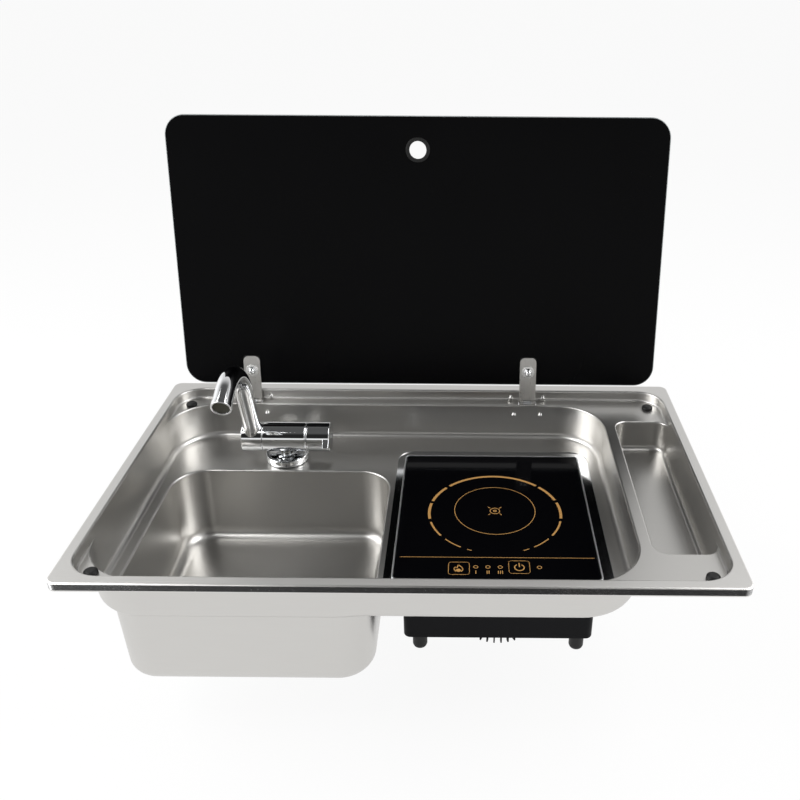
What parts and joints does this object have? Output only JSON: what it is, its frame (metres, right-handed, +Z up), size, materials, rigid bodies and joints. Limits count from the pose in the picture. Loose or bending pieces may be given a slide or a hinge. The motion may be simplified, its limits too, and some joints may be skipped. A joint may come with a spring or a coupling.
{
  "type": "sink and induction hob combination",
  "caption": "Drop-in steel sink with an induction hob beside the bowl, a folding chrome tap, a side tray and a hinged black glass lid, for a camper or a small kitchen.",
  "frame": {"origin": "middle of the rim's front strip, on the underside of the rim seal, where it meets the worktop", "axes": "+X to the right seen from the front, +Y to the back, +Z up"},
  "size_m": [0.68, 0.4727, 0.5937],
  "materials": {
    "satin_steel": "satin, brushed along the walls",
    "polished_steel": "polished like a mirror",
    "plated_steel": "bright zinc plate",
    "chrome": "bright chrome plate",
    "brass": "machined brass",
    "aluminium": "bare extruded aluminium",
    "lid_glass": "toughened glass with a black back print, glossy",
    "hob_glass": "black glass ceramic, glossy, gold prints",
    "black_rubber": "soft matt black",
    "black_plastic": "moulded black, fine grain",
    "white_plastic": "moulded off-white",
    "dark_mesh": "dark grey, matt",
    "insulation": "pale mica and fibre sheet",
    "copper": "enamelled copper wire",
    "ferrite": "dark grey sintered ferrite",
    "board_green": "green solder mask"
  },
  "bodies": {
    "deck": {"deck_pressing": "satin_steel", "sink_bowl": "satin_steel", "rim_seal": "black_rubber", "lid_bumpers": "black_rubber", "hob_support_frame": "polished_steel", "hinge_bracket_left": "plated_steel", "hinge_bracket_right": "plated_steel", "hinge_pins": "polished_steel", "hinge_screws": "polished_steel", "waste_flange": "satin_steel", "waste_gasket": "black_rubber", "waste_locknut": "white_plastic", "waste_tail": "white_plastic", "waste_tail_nut": "white_plastic", "tap_flange": "chrome", "tap_base_seal": "black_rubber", "tap_shank": "brass", "tap_backing_washer": "black_rubber", "tap_shank_nut": "brass", "hob_glass": "hob_glass", "hob_trim": "polished_steel", "glass_gasket": "black_rubber", "hob_casing": "black_plastic", "hob_bottom_cover": "black_plastic", "fan_grille": "black_plastic", "hob_feet": "black_rubber", "casing_screws": "plated_steel", "hob_clips": "plated_steel", "heat_shield": "insulation", "coil_winding": "copper", "coil_former": "white_plastic", "ferrite_bars": "ferrite", "coil_plate": "aluminium", "temperature_sensor": "white_plastic", "control_board": "board_green", "touch_springs": "brass", "power_board": "board_green", "heatsink": "aluminium", "fan_frame": "black_plastic", "cord_gland": "black_plastic"},
    "lid": {"lid_glass": "lid_glass", "lid_grommet": "black_rubber", "lid_strap_left": "satin_steel", "lid_strap_right": "satin_steel", "strap_pads": "black_rubber", "lid_bolts": "polished_steel", "lid_washers": "polished_steel", "lid_dome_nuts": "chrome"},
    "tap_turret": {"tap_body": "chrome", "tap_cartridge": "white_plastic", "tap_trim_ring": "chrome", "spout_end_cap": "chrome"},
    "handle": {"tap_handle": "chrome", "handle_screw": "plated_steel"},
    "folding_spout": {"spout": "chrome", "aerator_collar": "chrome", "aerator_mesh": "dark_mesh"},
    "strainer": {"strainer_basket": "satin_steel", "strainer_knob": "black_plastic"},
    "fan": {"fan_rotor": "black_plastic"}
  },
  "joints": [
    {"name": "lid_hinge", "type": "hinge", "parent": "deck", "child": "lid", "pos_m": [0, 0.3903, -0.0036], "axis": [1, 0, 0], "range_deg": [0, 100.12]},
    {"name": "tap_swivel", "type": "hinge", "parent": "deck", "child": "tap_turret", "pos_m": [-0.173, 0.3265, -0.0215], "axis": [0, 0, 1], "range_deg": [0, 35]},
    {"name": "spout_fold", "type": "hinge", "parent": "tap_turret", "child": "folding_spout", "pos_m": [-0.173, 0.3265, -0.0215], "axis": [1, 0, 0], "range_deg": [0, 73]},
    {"name": "handle_turn", "type": "hinge", "parent": "tap_turret", "child": "handle", "pos_m": [-0.173, 0.3265, -0.0215], "axis": [1, 0, 0], "range_deg": [0, 90]},
    {"name": "strainer_lift", "type": "slide", "parent": "deck", "child": "strainer", "axis": [0, 0, 1], "range_m": [0, 0.04]},
    {"name": "fan_spin", "type": "hinge", "parent": "deck", "child": "fan", "pos_m": [0.1005, 0.132, -0.125], "axis": [0, 0, 1], "continuous": true}
  ],
  "couplings": [
    {"joint": "spout_fold", "follows": "lid_hinge", "ratio": 0.72913}
  ]
}
